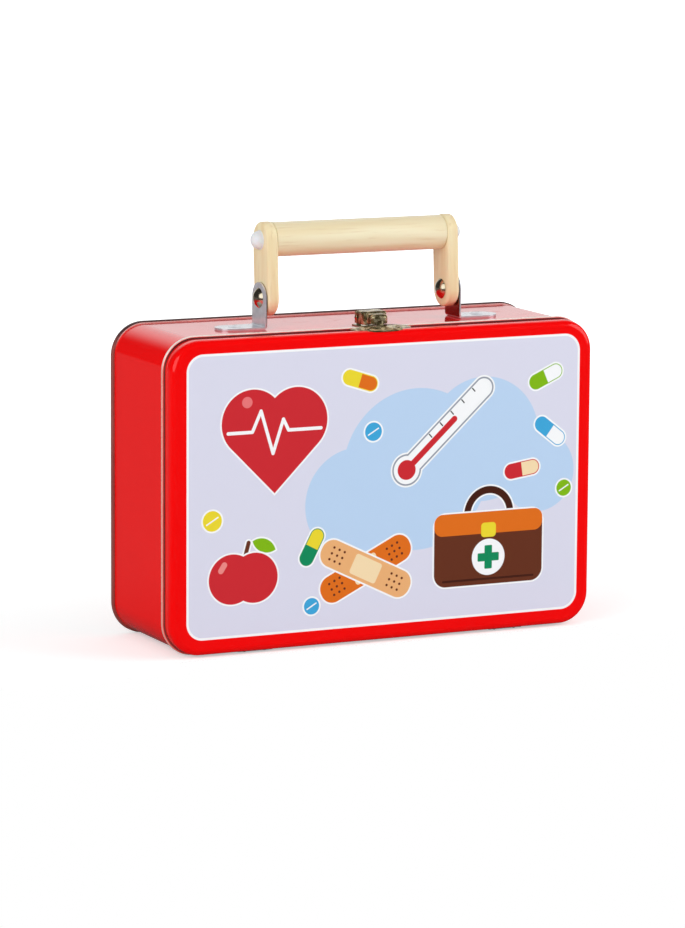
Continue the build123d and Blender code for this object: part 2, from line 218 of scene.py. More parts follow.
def arc(centre, radius, start, end, steps=EDGE_STEPS):
    """Points of an arc about a (depth, growth) centre, angles in degrees."""
    angles = [math.radians(start + (end - start) * i / steps) for i in range(steps + 1)]
    return [(centre[0] + radius * math.cos(a), centre[1] + radius * math.sin(a)) for a in angles]


# ---- Shader writing


def colour(red, green, blue):
    """A colour given in sRGB values from 0 to 255, as the shader wants it."""
    values = []
    for value in (red, green, blue):
        share = value / 255
        values.append(share / 12.92 if share <= 0.04045 else ((share + 0.055) / 1.055) ** 2.4)
    return (*values, 1.0)


class Signal:
    """One output of a node. Arithmetic on it adds Math nodes."""

    def __init__(self, graph, socket):
        self.graph = graph
        self.socket = socket

    def math(self, operation, *others, clamp=False):
        settings = {"operation": operation, "use_clamp": clamp}
        return self.graph.read("ShaderNodeMath", settings, dict(enumerate((self, *others))))

    def vector(self, operation, *others, output=0):
        inputs = dict(enumerate((self, *others)))
        return self.graph.read("ShaderNodeVectorMath", {"operation": operation}, inputs, output)

    def __add__(self, other):
        return self.math("ADD", other)

    __radd__ = __add__

    def __sub__(self, other):
        return self.math("SUBTRACT", other)

    def __rsub__(self, other):
        return self.graph.read("ShaderNodeMath", {"operation": "SUBTRACT"}, {0: other, 1: self})

    def __mul__(self, other):
        return self.math("MULTIPLY", other)

    def __truediv__(self, other):
        return self.math("DIVIDE", other)

    def __neg__(self):
        return self.math("MULTIPLY", -1.0)

    def __abs__(self):
        return self.math("ABSOLUTE")

    def low(self, other):
        return self.math("MINIMUM", other)

    def high(self, other):
        return self.math("MAXIMUM", other)

    def ramp(self, start, end, low=0.0, high=1.0):
        """Runs smoothly from low at start to high at end."""
        settings = {"interpolation_type": "SMOOTHSTEP"}
        return self.graph.read("ShaderNodeMapRange", settings, {0: self, 1: start, 2: end, 3: low, 4: high})

    def inside(self, softness):
        """1 where a signed distance is under 0, with a soft edge."""
        return (self * (-1 / softness) + 0.5).math("ADD", 0.0, clamp=True)


class Graph:
    """The nodes of a material, of the world or of a geometry tree."""

    def __init__(self, tree):
        self.tree = tree

    def node(self, kind, settings, inputs):
        """Adds any node: its settings first, then its sockets' values or links."""
        made = self.tree.nodes.new(kind)
        for name, value in settings.items():
            setattr(made, name, value)
        for name, value in inputs.items():
            if isinstance(value, Signal):
                self.tree.links.new(value.socket, made.inputs[name])
            else:
                made.inputs[name].default_value = value
        return made

    def read(self, kind, settings, inputs, output=0):
        return Signal(self, self.node(kind, settings, inputs).outputs[output])

    def split(self, vector):
        made = self.node("ShaderNodeSeparateXYZ", {}, {0: vector})
        return [Signal(self, output) for output in made.outputs]

    def joined(self, x, y):
        return self.read("ShaderNodeCombineXYZ", {}, {0: x, 1: y})


class Finish(Graph):
    """A node material in the making, on one Principled surface."""

    def __init__(self, name, **constants):
        self.material = bpy.data.materials.new(name)
        self.material.use_nodes = True
        super().__init__(self.material.node_tree)
        self.surface = self.tree.nodes["Principled BSDF"]
        for socket, value in constants.items():
            self.surface.inputs[socket.replace("_", " ")].default_value = value
        self.place = self.read("ShaderNodeTexCoord", {}, {}, "Object")

    def axes(self):
        """The object's own x, y and z, in millimetres."""
        inputs = {0: self.place, "Scale": 1 / MM}
        return self.split(self.read("ShaderNodeVectorMath", {"operation": "SCALE"}, inputs))

    def noise(self, size, stretch=(1, 1, 1), detail=3.0, roughness=0.55):
        """Noise whose features are about a size in millimetres."""
        scale = tuple(1 / (MM * size * s) for s in stretch)
        mapped = {"Vector": self.place, "Scale": scale}
        point = self.read("ShaderNodeMapping", {}, mapped)
        inputs = {"Vector": point, "Scale": 1.0, "Detail": detail, "Roughness": roughness}
        return self.read("ShaderNodeTexNoise", {}, inputs, 0)

    def mix(self, share, first, second):
        """The first colour where share is 0, and the second where it is 1."""
        settings = {"data_type": "RGBA"}
        return self.read("ShaderNodeMix", settings, {0: share, 6: first, 7: second}, 2)

    def feed(self, **signals):
        for socket, signal in signals.items():
            self.tree.links.new(signal.socket, self.surface.inputs[socket.replace("_", " ")])
        return self

    def bump(self, height, depth, strength=1.0):
        """Raises the surface by a height of 0 to 1, times a depth in millimetres."""
        inputs = {"Height": height, "Distance": depth * MM, "Strength": strength}
        return self.feed(Normal=self.read("ShaderNodeBump", {}, inputs))


# ---- The finishes

ENAMEL_RED = colour(252, 2, 3)
ENAMEL_DEEP = colour(246, 1, 2)
TIN = colour(212, 208, 202)


# Where the sides' painted light and shade turn into the top's, in mm below the top
TOP_FADE = (14, 3)


def mottled_red(finish):
    return finish.mix(finish.noise(38, detail=2.0), ENAMEL_RED, ENAMEL_DEEP)


def fine_scuffs(finish):
    return finish.noise(1.6, stretch=(9, 9, 1), detail=4.0).ramp(0.56, 0.8)


def red_enamel():
    """Glossy red print on tinplate: faint mottling, fine scuffs, a slight ripple."""
    finish = Finish("red_enamel", Coat_Weight=0.45, Coat_Roughness=0.05)
    finish.feed(Base_Color=mottled_red(finish), Roughness=0.12 + fine_scuffs(finish) * 0.16)
    ripple = finish.noise(16, detail=1.5)
    return finish.bump(ripple, 0.05, 0.35).material


def on_top(height):
    """0 on the case's sides and 1 along its top, for a height in millimetres."""
    return height.ramp(TOP_Z / MM - TOP_FADE[0], TOP_Z / MM - TOP_FADE[1])


def worn_bead():
    """The rolled bead: red in its root, its crest rubbed down to bare tin, which is painted near white
    along the top and pinkish on the sides as painted light.
    """
    finish = Finish("worn_bead", Coat_Weight=0.6, Coat_Roughness=0.1)
    y, z = finish.axes()[1:]
    off_crest = abs(y - BEAD_Y / MM)
    patchy = finish.noise(6, detail=3.0)
    bare = (off_crest + patchy * 0.3).ramp(1.28, 0.92)
    # Painted light: the bare tin is near white along the top and pinkish on the sides.
    crest_painted_light = finish.mix(on_top(z + patchy * 6), colour(238, 172, 160), colour(255, 246, 236))
    finish.feed(
        Base_Color=finish.mix(bare, ENAMEL_RED, crest_painted_light),
        Metallic=bare * 0.15,
        Roughness=0.2 + patchy * 0.15,
    )
    return finish.bump(finish.noise(3, detail=2.0), 0.03, 0.3).material


def bare_tin():
    """Bright tinplate with the faint streaks of the rolling mill."""
    finish = Finish("bare_tin", Metallic=0.4)
    streaks = finish.noise(0.7, stretch=(40, 40, 1), detail=3.0)
    cloud = finish.noise(24, detail=2.0)
    finish.feed(
        Base_Color=finish.mix(cloud, TIN, colour(192, 186, 176)),
        Roughness=0.24 + streaks * 0.16,
    )
    return finish.bump(streaks, 0.01, 0.4).material


def folded_rim(name, top_paler, top_deeper):
    """A fold of the tin, painted patchy brown on the sides as painted shade, with its own colours along the
    top.
    """
    finish = Finish(name, Metallic=0.15)
    z = finish.axes()[2]
    blotches = finish.noise(5, stretch=(3, 1, 3), detail=4.0)
    # Painted shade: patchy brown on the sides; the top takes the given colours, painted shade or painted
    # light.
    side = finish.mix(blotches, colour(172, 92, 84), colour(138, 62, 56))
    finish.feed(
        Base_Color=finish.mix(on_top(z), side, finish.mix(blotches, top_paler, top_deeper)),
        Roughness=0.34 + blotches * 0.2,
    )
    return finish.bump(finish.noise(9, detail=2.0), 0.04, 0.4).material


# The print on the lid's front. Places are in mm from the panel's centre, x to the
# right and z up.
PANEL_WIDTH = 233.6
PANEL_HEIGHT = 152.3
PANEL_CORNER = 9.5
PANEL_LINE = 1.3
PANEL_RAISE = 0.7
# How far behind the lid's front the panel's print still shows, and how softly it ends
PRINT_DEPTH = 0.6
PRINT_FADE = 0.4
INK_EDGE = 0.25
HALO = 0.9

LAVENDER = colour(223, 221, 238)
PALE_BLUE = colour(190, 214, 243)
WHITE_INK = colour(252, 251, 253)
RED_INK = colour(208, 44, 52)
ORANGE_INK = colour(228, 112, 30)
TAN_INK = colour(240, 178, 120)
CREAM_INK = colour(250, 222, 178)
YELLOW_INK = colour(240, 218, 52)
GREEN_INK = colour(132, 186, 24)
DEEP_GREEN_INK = colour(22, 140, 92)
BLUE_INK = colour(66, 168, 220)
BROWN_INK = colour(104, 52, 34)
DARK_BROWN_INK = colour(72, 34, 24)
GREY_INK = colour(150, 154, 166)
BLACK_INK = colour(46, 44, 46)


class Print:
    """Flat shapes in ink, laid over each other on the panel."""

    def __init__(self, finish, x, z, ground):
        self.finish = finish
        self.point = finish.joined(x, z)
        self.ground = ground

    def disc(self, centre, radius):
        return self.point.vector("DISTANCE", (*centre, 0), output="Value") - radius

    def stick(self, start, end, radius):
        """A round-ended bar between two points."""
        run = Vector((end[0] - start[0], end[1] - start[1], 0))
        away = self.point.vector("SUBTRACT", (*start, 0))
        along = away.vector("DOT_PRODUCT", tuple(run / run.length_squared), output="Value")
        along = along.math("ADD", 0.0, clamp=True)
        inputs = {0: tuple(run), "Scale": along}
        closest = self.finish.read("ShaderNodeVectorMath", {"operation": "SCALE"}, inputs)
        return away.vector("DISTANCE", closest, output="Value") - radius

    def turned(self, centre, degrees):
        """The point's x and z about a centre, in axes turned by an angle."""
        away = self.point.vector("SUBTRACT", (*centre, 0))
        c, s = math.cos(math.radians(degrees)), math.sin(math.radians(degrees))
        x = away.vector("DOT_PRODUCT", (c, s, 0), output="Value")
        z = away.vector("DOT_PRODUCT", (-s, c, 0), output="Value")
        return x, z

    def box(self, centre, size, rounding, degrees=0.0):
        """A rounded box, as a signed distance."""
        x, z = self.turned(centre, degrees)
        over_x = abs(x) - (size[0] / 2 - rounding)
        over_z = abs(z) - (size[1] / 2 - rounding)
        outside = self.finish.joined(over_x.high(0.0), over_z.high(0.0)).vector("LENGTH", output="Value")
        return outside + over_x.high(over_z).low(0.0) - rounding

    def heart(self, centre, side):
        """A square on its corner with a disc on each upper side."""
        x, z = self.turned(centre, 45)
        square = abs(x).high(abs(z)) - side / 2
        reach = side / math.sqrt(8)
        for sign in (-1, 1):
            square = square.low(self.disc((centre[0] + sign * reach, centre[1] + reach), side / 2))
        return square

    def ink(self, shape, shade):
        """Prints a shape over what is there."""
        self.ground = self.finish.mix(shape.inside(INK_EDGE), self.ground, shade)

    def haloed(self, shape, shade):
        """Prints a shape with a thin white edge round it."""
        self.ink(shape - HALO, WHITE_INK)
        self.ink(shape, shade)


def nearest(shapes):
    """Several shapes as one."""
    joined = shapes[0]
    for shape in shapes[1:]:
        joined = joined.low(shape)
    return joined


CLOUDS = [((18, 8), 44), ((58, 22), 34), ((-18, -8), 30), ((92, 2), 22)]
HEART_AT = (-66, 26)
HEART_SIDE = 36
PULSE = [(-27, 0), (-13, 0), (-8, 11), (-1, -12), (5, 6), (8, 0), (27, 0)]
BAG_AT = (62, -38)
BAG_SIZE = (66, 40)
PLASTERS = [((-12, -44), 26, ORANGE_INK), ((-12, -44), -26, TAN_INK)]
PLASTER_SIZE = (58, 15)
THERMOMETER = ((12, 8), (58, 50))
APPLE_AT = (-84, -44)
CAPSULES = [
    ((96, 54), 24, GREEN_INK, WHITE_INK),
    ((99, 24), -38, BLUE_INK, WHITE_INK),
    ((-16, 58), -18, YELLOW_INK, ORANGE_INK),
    ((-44, -30), 62, DEEP_GREEN_INK, YELLOW_INK),
    ((82, 4), 8, RED_INK, CREAM_INK),
]
CAPSULE_HALF = 6.5
CAPSULE_RADIUS = 4.2
PILLS = [
    ((-102, -12), 5.5, YELLOW_INK),
    ((-8, 30), 5.0, BLUE_INK),
    ((108, -8), 4.5, GREEN_INK),
    ((-44, -62), 4.5, BLUE_INK),
]


def draw_heart(sheet):
    sheet.haloed(sheet.heart(HEART_AT, HEART_SIDE), RED_INK)
    corners = [(HEART_AT[0] + x, HEART_AT[1] + 8 + z) for x, z in PULSE]
    line = nearest([sheet.stick(a, b, 0.9) for a, b in zip(corners, corners[1:])])
    sheet.ink(line.high(sheet.heart(HEART_AT, HEART_SIDE) + 1.2), WHITE_INK)
    glint = sheet.disc((HEART_AT[0] - 16, HEART_AT[1] + 24), 3.0)
    sheet.ink(glint, colour(236, 120, 122))


def draw_bag(sheet):
    x, z = BAG_AT
    top = z + BAG_SIZE[1] / 2
    ring = abs(sheet.disc((x, top - 1), 13)) - 2.0
    sheet.haloed(ring, DARK_BROWN_INK)
    sheet.haloed(sheet.box(BAG_AT, BAG_SIZE, 7), BROWN_INK)
    sheet.ink(sheet.box((x, top - 6), (BAG_SIZE[0], 12), 5), ORANGE_INK)
    sheet.ink(sheet.box((x, z - BAG_SIZE[1] / 2 + 3), (BAG_SIZE[0] - 10, 1.2), 0.5), DARK_BROWN_INK)
    sheet.ink(sheet.box((x, top - 10), (9, 8), 2), YELLOW_INK)
    sheet.ink(sheet.disc((x, z - 5), 10), WHITE_INK)
    plus = sheet.box((x, z - 5), (13, 4.6), 0.6).low(sheet.box((x, z - 5), (4.6, 13), 0.6))
    sheet.ink(plus, DEEP_GREEN_INK)


def draw_plasters(sheet):
    for centre, degrees, shade in PLASTERS:
        sheet.haloed(sheet.box(centre, PLASTER_SIZE, 7, degrees), shade)
        sheet.ink(sheet.box(centre, (17, 11.5), 1.5, degrees), CREAM_INK)
        x, z = sheet.turned(centre, degrees)
        outward = abs(x) - 19
        holes = []
        for across in (-3.4, 0, 3.4):
            for along in (-3.4, 0, 3.4):
                spot = sheet.finish.joined(outward - along, z - across)
                holes.append(spot.vector("LENGTH", output="Value") - 0.7)
        sheet.ink(nearest(holes), BROWN_INK)


def draw_thermometer(sheet):
    bulb, tip = THERMOMETER
    run = Vector(tip) - Vector(bulb)
    shell = sheet.stick(bulb, tip, 6.0).low(sheet.disc(bulb, 8.6))
    sheet.haloed(shell, GREY_INK)
    sheet.ink(shell + 0.9, WHITE_INK)
    level = Vector(bulb) + run * 0.62
    sheet.ink(sheet.disc(bulb, 5.4).low(sheet.stick(bulb, level, 1.7)), RED_INK)
    across = Vector((-run.y, run.x)).normalized()
    marks = []
    for share in (0.36, 0.5, 0.64, 0.78, 0.92):
        start = Vector(bulb) + run * share + across * 2.4
        marks.append(sheet.stick(start, start + across * 2.2, 0.35))
    sheet.ink(nearest(marks), BLACK_INK)


def draw_apple(sheet):
    x, z = APPLE_AT
    body = sheet.disc((x - 6.5, z), 13.5).low(sheet.disc((x + 6.5, z), 13.5))
    sheet.haloed(sheet.stick((x, z + 8), (x + 3, z + 19), 1.2), BROWN_INK)
    leaf = sheet.disc((x + 10, z + 12), 9).high(sheet.disc((x + 14, z + 22), 9))
    sheet.haloed(leaf, GREEN_INK)
    sheet.haloed(body, RED_INK)
    sheet.ink(sheet.stick((x - 13, z + 5), (x - 11, z + 8), 1.6), colour(240, 140, 136))


def draw_capsules(sheet):
    for centre, degrees, first, second in CAPSULES:
        turn = math.radians(degrees)
        reach = Vector((math.cos(turn), math.sin(turn))) * CAPSULE_HALF
        capsule = sheet.stick(Vector(centre) - reach, Vector(centre) + reach, CAPSULE_RADIUS)
        sheet.ink(capsule - HALO, WHITE_INK)
        sheet.ink(capsule, first)
        along = sheet.turned(centre, degrees)[0]
        sheet.ink((capsule + 0.5).high(-along), second)
    for centre, radius, shade in PILLS:
        sheet.haloed(sheet.disc(centre, radius), shade)
        groove = sheet.box(centre, (radius * 1.5, 0.7), 0.3, 30)
        sheet.ink(groove, WHITE_INK)


def printed_lid():
    """The lid's print: a pale panel of plain first-aid shapes in a red border."""
    finish = Finish("printed_lid", Coat_Weight=0.3, Coat_Roughness=0.05)
    x, y, z = finish.axes()
    sheet = Print(finish, x, z - CENTRE_Z / MM, LAVENDER)
    sheet.ink(nearest([sheet.disc(*cloud) for cloud in CLOUDS]), PALE_BLUE)
    draw_thermometer(sheet)
    draw_heart(sheet)
    draw_apple(sheet)
    draw_plasters(sheet)
    draw_bag(sheet)
    draw_capsules(sheet)
    panel = sheet.box((0, PANEL_RAISE), (PANEL_WIDTH, PANEL_HEIGHT), PANEL_CORNER)
    sheet.ink(abs(panel + PANEL_LINE / 2) - PANEL_LINE / 2, WHITE_INK)
    on_panel = panel.inside(INK_EDGE)
    in_front = (y - (FRONT_Y / MM + PRINT_DEPTH)).inside(PRINT_FADE)
    finish.feed(
        Base_Color=finish.mix(on_panel * in_front, mottled_red(finish), sheet.ground),
        Roughness=0.11 + fine_scuffs(finish) * 0.08,
    )
    ripple = finish.noise(20, detail=1.5)
    return finish.bump(ripple, 0.04, 0.3).material


def wood(name, long_axis, light, dark):
    """Pale lacquered wood with its grain along one axis."""
    lacquer = {"Coat_Weight": 0.35, "Coat_Roughness": 0.25}
    finish = Finish(name, Subsurface_Weight=0.05, Subsurface_Scale=0.002, **lacquer)
    stretch = tuple(14 if axis == long_axis else 1 for axis in "xyz")
    grain = finish.noise(1.5, stretch=stretch, detail=5.0, roughness=0.6)
    bands = finish.noise(6.0, stretch=stretch, detail=2.0)
    base = finish.mix(bands.ramp(0.3, 0.7), light, dark)
    fleck = grain.ramp(0.55, 0.78)
    finish.feed(
        Base_Color=finish.mix(fleck * 0.45, base, colour(208, 172, 122)),
        Roughness=0.36 + grain * 0.16,
    )
    return finish.bump(grain, 0.05, 0.3).material


def plated(name, bright, dull, roughness, brush, metallic=1.0):
    """Plated steel: cloudy plating with faint brush marks across it."""
    finish = Finish(name, Metallic=metallic)
    cloud = finish.noise(5, detail=3.0)
    lines = finish.noise(0.35, stretch=brush, detail=3.0)
    finish.feed(
        Base_Color=finish.mix(cloud.ramp(0.3, 0.75), bright, dull),
        Roughness=roughness + lines * 0.14,
    )
    return finish.bump(lines, 0.008, 0.35).material


def bracket_nickel():
    """Pale nickel plate, rubbed bright and dark where the arm turns against it."""
    finish = Finish("bracket_nickel")
    x = finish.axes()[0]
    rubbed = abs(x).ramp(TAB_INNER_X / MM + 0.5, TAB_INNER_X / MM + 0.2)
    cloud = finish.noise(5, detail=3.0).ramp(0.3, 0.75)
    lines = finish.noise(0.35, stretch=(1, 30, 30), detail=3.0)
    plate = finish.mix(cloud, colour(238, 240, 246), colour(220, 222, 230))
    finish.feed(
        Base_Color=finish.mix(rubbed, plate, colour(168, 146, 134)),
        Metallic=0.5 + rubbed * 0.5,
        Roughness=0.1 + lines * 0.14,
    )
    return finish.bump(lines, 0.008, 0.35).material


def aged_brass():
    """Brass plate gone dark and greenish, worn pale in patches."""
    finish = Finish("aged_brass", Metallic=0.75)
    age = finish.noise(3.2, detail=4.0).ramp(0.38, 0.6)
    pits = finish.noise(0.5, detail=4.0)
    finish.feed(
        Base_Color=finish.mix(age, colour(222, 206, 166), colour(112, 99, 62)),
        Roughness=0.16 + pits * 0.16,
    )
    return finish.bump(pits, 0.02, 0.3).material


def cap_plastic():
    """White moulded plastic with a fine moulding texture."""
    finish = Finish("cap_plastic", Coat_Weight=0.3, Subsurface_Weight=0.2, Subsurface_Scale=0.001)
    cloud = finish.noise(3, detail=2.0)
    finish.feed(
        Base_Color=finish.mix(cloud, colour(240, 240, 242), colour(228, 229, 234)),
        Roughness=0.24 + cloud * 0.1,
    )
    return finish.bump(finish.noise(0.6, detail=2.0), 0.01, 0.25).material


RED = red_enamel()
BEAD = worn_bead()
INSIDE = bare_tin()
# Painted shade for the seam and back rim: dark along the top, brown on the sides.
SEAM_SHADE = folded_rim("dark_seam", colour(96, 56, 56), colour(66, 40, 40))
# The rim's root: painted light, pale along the top, and painted shade, brown on the sides.
ROOT_LIGHT_AND_SHADE = folded_rim("rim_root", colour(250, 228, 224), colour(238, 200, 194))
PRINTED = printed_lid()
GRIP_WOOD = wood("grip_wood", "x", colour(246, 234, 200), colour(239, 221, 180))
ARM_WOOD = wood("arm_wood", "z", colour(247, 231, 190), colour(239, 215, 168))
NICKEL = bracket_nickel()
POLISHED = plated("rivet_nickel", colour(234, 222, 198), colour(206, 192, 164), 0.1, (4, 4, 4))
ZINC = plated("hinge_zinc", colour(200, 202, 204), colour(172, 174, 178), 0.26, (30, 1, 1), 0.6)
BRASS = aged_brass()
WHITE_PLASTIC = cap_plastic()


# ---- The tray

# The order of each piece's materials
TRAY_SKINS = [RED, BEAD, INSIDE, SEAM_SHADE]
COVER_SKINS = [RED, SEAM_SHADE, INSIDE, ROOT_LIGHT_AND_SHADE]
LID_SKINS = [PRINTED, INSIDE]


def tray_profile():
    """The tray's section as (depth, growth) points, and the skin of each stretch."""
    bead = (BEAD_Y, 0.0)
    neck_out = -(TIN_SHEET + NECK_CLEARANCE)
    neck_in = neck_out - TIN_SHEET
    join = math.degrees(math.asin(-neck_out / BEAD_RADIUS))
    join_in = math.degrees(math.asin(-neck_in / BEAD_RADIUS))
    wall_in = math.degrees(math.asin(TIN_SHEET / BEAD_RADIUS))
    outer = arc(bead, BEAD_RADIUS, 180 + join, 0, BEAD_STEPS)
    inner = arc(bead, BEAD_RADIUS, 360 - wall_in, 180 + join_in, BEAD_INNER_STEPS)
    front = [(NECK_FRONT_Y, neck_in), (NECK_FRONT_Y, neck_out)]
    wall = [(WALL_END_Y, 0.0), (WALL_END_Y, -TIN_SHEET)]
    points = front + outer + wall + inner
    first_bead = len(front) - 1
    first_wall = first_bead + len(outer)

    def skin(i):
        if i < first_bead:
            return INSIDE
        if i < first_wall:
            # The bead's first steps face the seam and get its painted shade.
            return SEAM_SHADE if i < first_bead + PAINTED_SHADE_STEPS else BEAD
        return RED if i == first_wall else INSIDE

    return points, skin


def tray_band():
    """The band bent round four sides, with the bead cut open at the hinges."""
    points, skin = tray_profile()

    def fill(made):
        rings = rings_round_case(made, points)
        for i, near in enumerate(rings):
            join_rings(made, near, rings[(i + 1) % len(rings)], TRAY_SKINS.index(skin(i)))
        bmesh.ops.recalc_face_normals(made, faces=made.faces)

    band = new_piece("tray_band", fill, *TRAY_SKINS)
    low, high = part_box("hinge_loop_left")
    slot_radius = (high.z - low.z) / 2 + SLOT_GAP
    cutter = new_piece("slot_cutter", lambda made: cut_rods(made, slot_radius))
    modify(band, "BOOLEAN", operation="DIFFERENCE", solver="EXACT", object=cutter)
    settle(band)
    bpy.data.objects.remove(cutter)
    smooth_up_to(band)
    dress(band, "case", ["case_wall"])


def cut_rods(made, radius):
    """Rods that clear the hinge loops out of the bead."""
    for side in SIDES:
        low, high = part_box(f"hinge_loop_{side}")
        length = high.x - low.x + 2 * SLOT_GAP
        middle = Vector(((low.x + high.x) / 2, LID_AXIS.y, LID_AXIS.z))
        place = Matrix.Translation(middle) @ Matrix.Rotation(math.pi / 2, 4, "Y")
        rod = {"radius1": radius, "radius2": radius, "depth": length}
        bmesh.ops.create_cone(made, cap_ends=True, segments=32, matrix=place, **rod)


def rear_profile():
    """The section of the back sheet and of the rim folded round the wall."""
    inner = -(TIN_SHEET + RIM_FOLD)
    edge = 0.5 * MM
    sheet_y = REAR_Y - BACK_RECESS
    front_round = arc((RIM_FRONT_Y + edge, RIM_PROUD - edge), edge, 180, 90)
    rear_round = arc((REAR_Y - edge, RIM_PROUD - edge), edge, 90, 0)
    inner_round = arc((REAR_Y - edge, inner + edge), edge, 0, -90)
    foot = arc((sheet_y + edge, inner - edge), edge, 90, 180)
    field = [(sheet_y + height * MM, -margin * MM) for height, margin in BACK_FIELD]
    root = [(RIM_FRONT_Y, 0.02 * MM), (RIM_FRONT_Y, RIM_PROUD * ROOT_SHARE)]
    return root + front_round + rear_round + inner_round + foot + field


def back_cover():
    """The back sheet with its raised field, folded over the tray's rear edge."""

    def fill(made):
        rings = rings_round_case(made, rear_profile())
        for near, far in zip(rings, rings[1:]):
            join_rings(made, near, far)
        made.faces.new(sorted(rings[-1], key=lambda v: -math.atan2(v.co.z - CENTRE_Z, v.co.x)))
        bmesh.ops.recalc_face_normals(made, faces=made.faces)

    cover = new_piece("back_cover", fill, *COVER_SKINS)
    modify(cover, "SOLIDIFY", thickness=TIN_SHEET, offset=-1.0)
    settle(cover)
    smooth_up_to(cover)
    for face in cover.data.polygons:
        growth = outer_growth(face.center)
        on_rim = growth > -(TIN_SHEET + RIM_FOLD + 0.1 * MM)
        at_root = face.center.y < RIM_FRONT_Y + 0.05 * MM and growth < RIM_PROUD * ROOT_SHARE
        # The back rim gets the seam's painted shade; its root gets painted light along the top.
        if face.normal.y < -0.5 and not on_rim:
            skin = INSIDE
        elif at_root:
            skin = ROOT_LIGHT_AND_SHADE
        else:
            skin = SEAM_SHADE if on_rim else RED
        face.material_index = COVER_SKINS.index(skin)
    dress(cover, "case", ["back_panel"])


def outer_growth(point):
    """How far a point lies outside the case's walls."""
    across = abs(point.x) - (CASE_WIDTH / 2 - CORNER_RADIUS)
    upright = abs(point.z - CENTRE_Z) - (CASE_HEIGHT / 2 - CORNER_RADIUS)
    outside = math.hypot(max(across, 0), max(upright, 0))
    return outside + min(max(across, upright), 0) - CORNER_RADIUS


# ---- The lid


def lid_cover():
    """The stamped lid with a hemmed edge, printed outside and bare inside."""
    edge_y = LID_EDGE_Y - HEM_INSET
    shoulder = (FRONT_Y + SHOULDER_RADIUS, -SHOULDER_RADIUS)
    inner_radius = SHOULDER_RADIUS - TIN_SHEET
    outer = [(edge_y, 0.0)] + arc(shoulder, SHOULDER_RADIUS, 90, 180, SHOULDER_STEPS)
    inner = arc(shoulder, inner_radius, 180, 90, SHOULDER_INNER_STEPS) + [(edge_y, -TIN_SHEET)]
    rounding = arc((edge_y, -TIN_SHEET / 2), TIN_SHEET / 2, -90, 90)[1:-1]
    points = outer + inner + rounding
    turn = len(outer) - 1

    def fill(made):
        rings = rings_round_case(made, points)
        for i, near in enumerate(rings):
            if i == turn:
                continue
            skin = PRINTED if i < turn or i > turn + len(inner) else INSIDE
            join_rings(made, near, rings[(i + 1) % len(rings)], LID_SKINS.index(skin))
        for ring, skin in ((rings[turn], PRINTED), (rings[turn + 1], INSIDE)):
            made.faces.new(ring).material_index = LID_SKINS.index(skin)
        bmesh.ops.recalc_face_normals(made, faces=made.faces)

    lid = new_piece("lid_cover", fill, *LID_SKINS)
    smooth_up_to(lid)
    dress(lid, "lid", ["lid_shell"])


# ---- The handle


def leaned(piece):
    """Turns a part of the handle back about the pivots to where it stands."""
    turn = Matrix.Rotation(-HANDLE_LEAN, 4, "X")
    piece.data.transform(Matrix.Translation(PIVOT) @ turn @ Matrix.Translation(-PIVOT))
    return piece


def turned_bar(profile, start, segments):
    """A mesh maker: (distance, radius) points turned about X from a start point."""

    def fill(made):
        rings = []
        for along, radius in profile:
            ring = []
            for i in range(segments):
                turn = 2 * math.pi * i / segments
                y = start.y + radius * math.cos(turn)
                z = start.z + radius * math.sin(turn)
                ring.append(made.verts.new((start.x + along, y, z)))
            rings.append(ring)
        for near, far in zip(rings, rings[1:]):
            join_rings(made, near, far)
        made.faces.new(rings[0])
        made.faces.new(rings[-1])
        bmesh.ops.recalc_face_normals(made, faces=made.faces)

    return fill


def grip_bar():
    """The round wooden grip, its end edges eased."""
    low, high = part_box("handle_grip")
    length = high.x - low.x
    near_end = [(0, GRIP_RADIUS - GRIP_EDGE), (GRIP_EDGE, GRIP_RADIUS)]
    far_end = [(length - along, radius) for along, radius in reversed(near_end)]
    start = Vector((low.x, PIVOT.y, PIVOT.z + HANDLE_REACH))
    bar = leaned(new_piece("grip_bar", turned_bar(near_end + far_end, start, BAR_SEGMENTS), GRIP_WOOD))
    smooth_up_to(bar)
    dress(bar, "handle", ["handle_grip"])


def arm_bar(side):
    """A flat arm with round ends and eased edges."""
    low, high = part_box(f"handle_arm_{side}")
    radius = ARM_WIDTH / 2

    def fill(made):
        ring = []
        for centre_z, start in ((PIVOT.z + HANDLE_REACH, 0), (PIVOT.z, math.pi)):
            for i in range(ARM_END_STEPS + 1):
                turn = start + math.pi * i / ARM_END_STEPS
                y = PIVOT.y + radius * math.cos(turn)
                ring.append(made.verts.new((low.x, y, centre_z + radius * math.sin(turn))))
        face = made.faces.new(ring)
        raised = bmesh.ops.extrude_face_region(made, geom=[face])
        moved = [v for v in raised["geom"] if isinstance(v, bmesh.types.BMVert)]
        bmesh.ops.translate(made, verts=moved, vec=(high.x - low.x, 0, 0))
        rims = [e for e in made.edges if abs(e.verts[0].co.x - e.verts[1].co.x) < WELD]
        bmesh.ops.bevel(made, geom=rims, offset=ARM_ROUNDING, segments=6, profile=0.5, affect="EDGES")
        bmesh.ops.recalc_face_normals(made, faces=made.faces)

    arm = leaned(new_piece(f"arm_bar_{side}", fill, ARM_WOOD))
    smooth_up_to(arm, 40)
    dress(arm, "handle", [f"handle_arm_{side}"])


